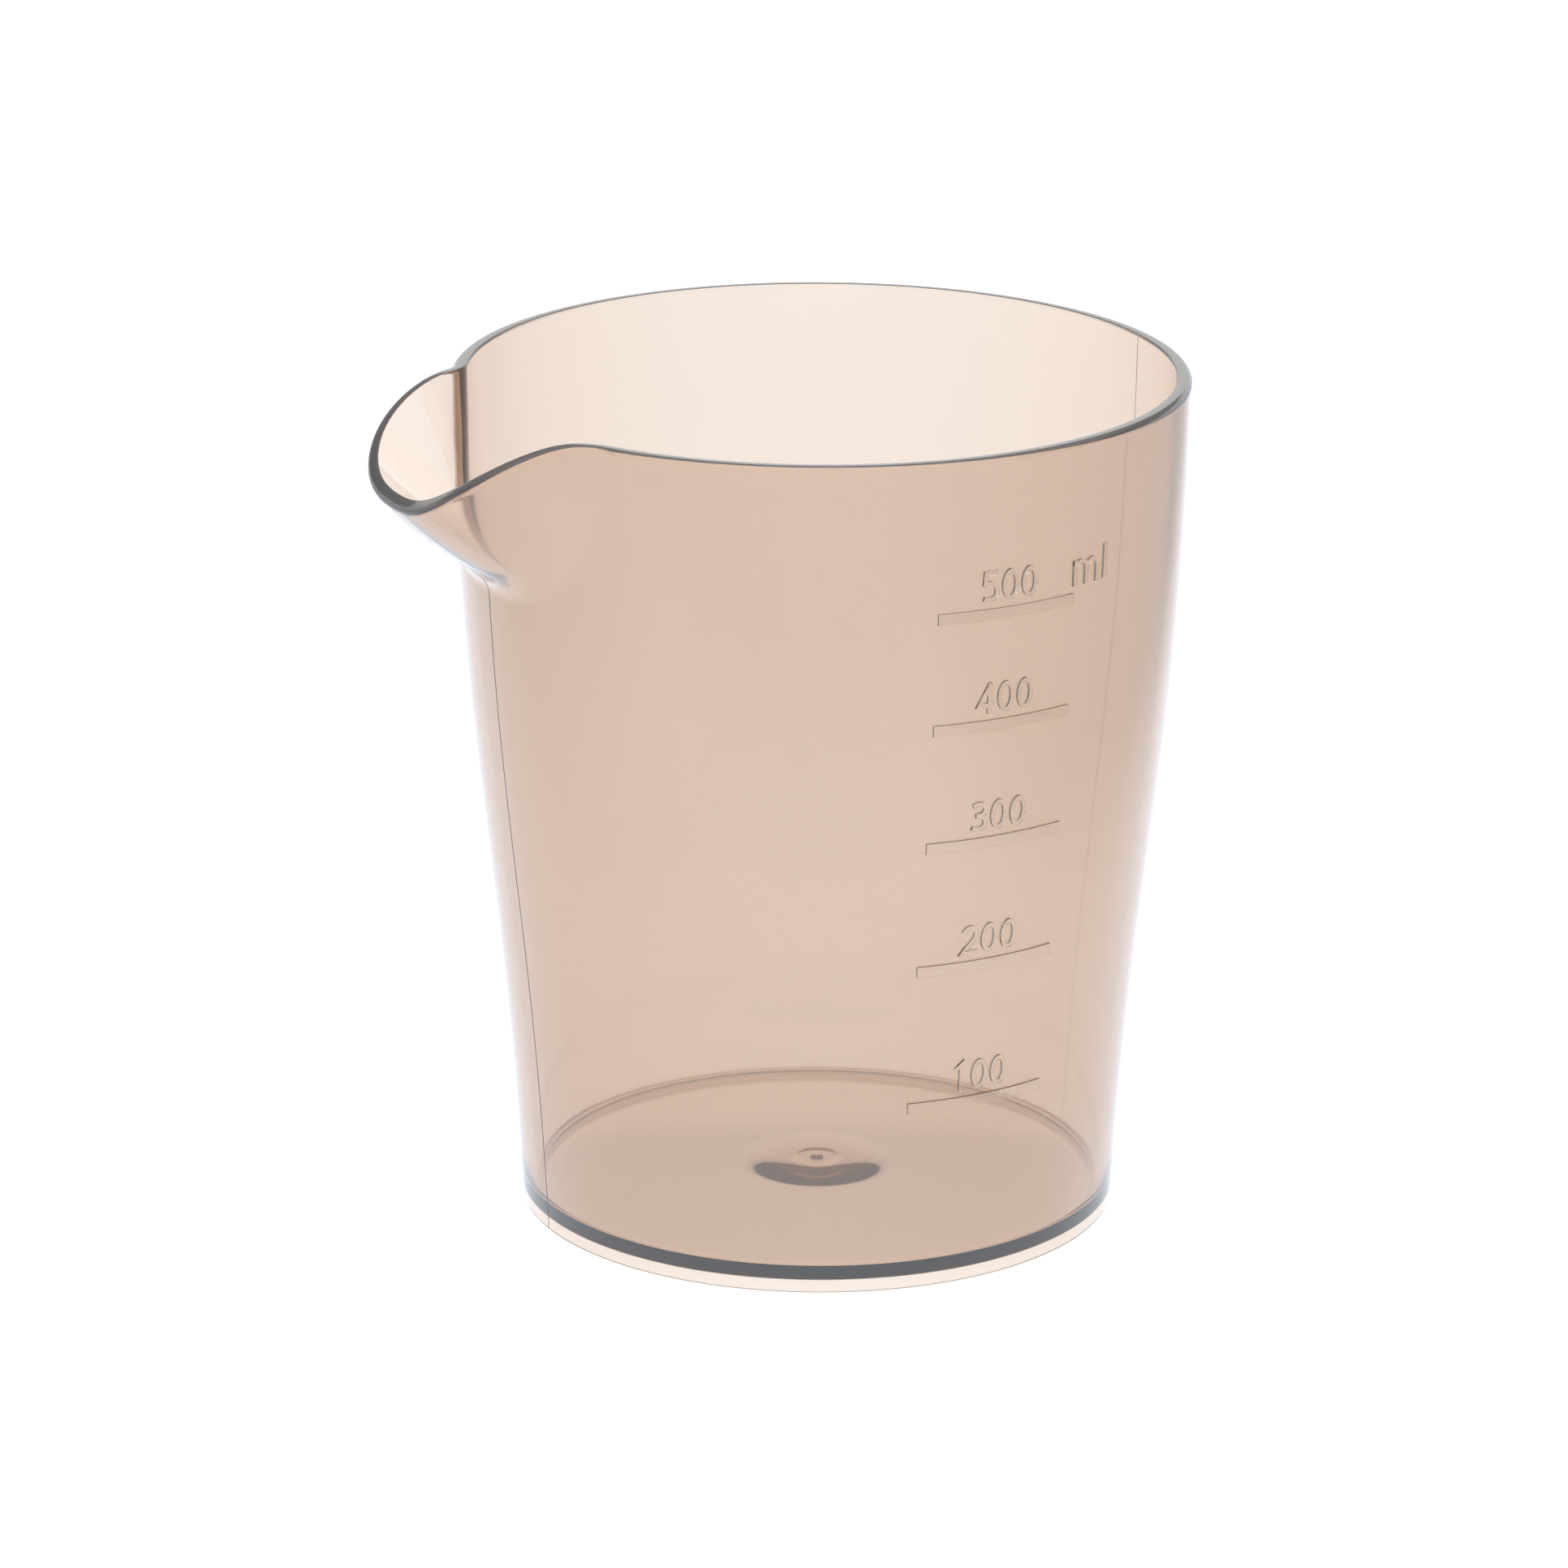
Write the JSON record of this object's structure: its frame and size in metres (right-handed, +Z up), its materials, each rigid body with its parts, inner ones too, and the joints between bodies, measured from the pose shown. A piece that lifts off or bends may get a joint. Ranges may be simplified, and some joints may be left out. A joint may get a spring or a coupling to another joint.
{
  "type": "measuring beaker",
  "caption": "Tapered one-piece translucent plastic measuring beaker with a drooping pouring spout, plain foot ring and a raised millilitre scale.",
  "frame": {"origin": "middle of the bounding box's base, on the plane that the foot ring stands on; the cup's own axis stands at X = +6.75 mm", "axes": "+Z up out of the mouth, -X along the spout, and -Y towards the reader of the scale"},
  "size_m": [0.1099, 0.097, 0.1141],
  "materials": {
    "smoky_plastic": "clear smoky beige plastic, glossy inside and out",
    "scale_relief": "same moulding as the vessel, a little duller"
  },
  "bodies": {
    "root": {"vessel": "smoky_plastic", "graduation_bar_100": "scale_relief", "numeral_100_hundreds": "scale_relief", "numeral_100_tens": "scale_relief", "numeral_100_units": "scale_relief", "graduation_bar_200": "scale_relief", "numeral_200_hundreds": "scale_relief", "numeral_200_tens": "scale_relief", "numeral_200_units": "scale_relief", "graduation_bar_300": "scale_relief", "numeral_300_hundreds": "scale_relief", "numeral_300_tens": "scale_relief", "numeral_300_units": "scale_relief", "graduation_bar_400": "scale_relief", "numeral_400_hundreds": "scale_relief", "numeral_400_tens": "scale_relief", "numeral_400_units": "scale_relief", "graduation_bar_500": "scale_relief", "numeral_500_hundreds": "scale_relief", "numeral_500_tens": "scale_relief", "numeral_500_units": "scale_relief", "letter_m": "scale_relief", "letter_l": "scale_relief"}
  },
  "joints": []
}
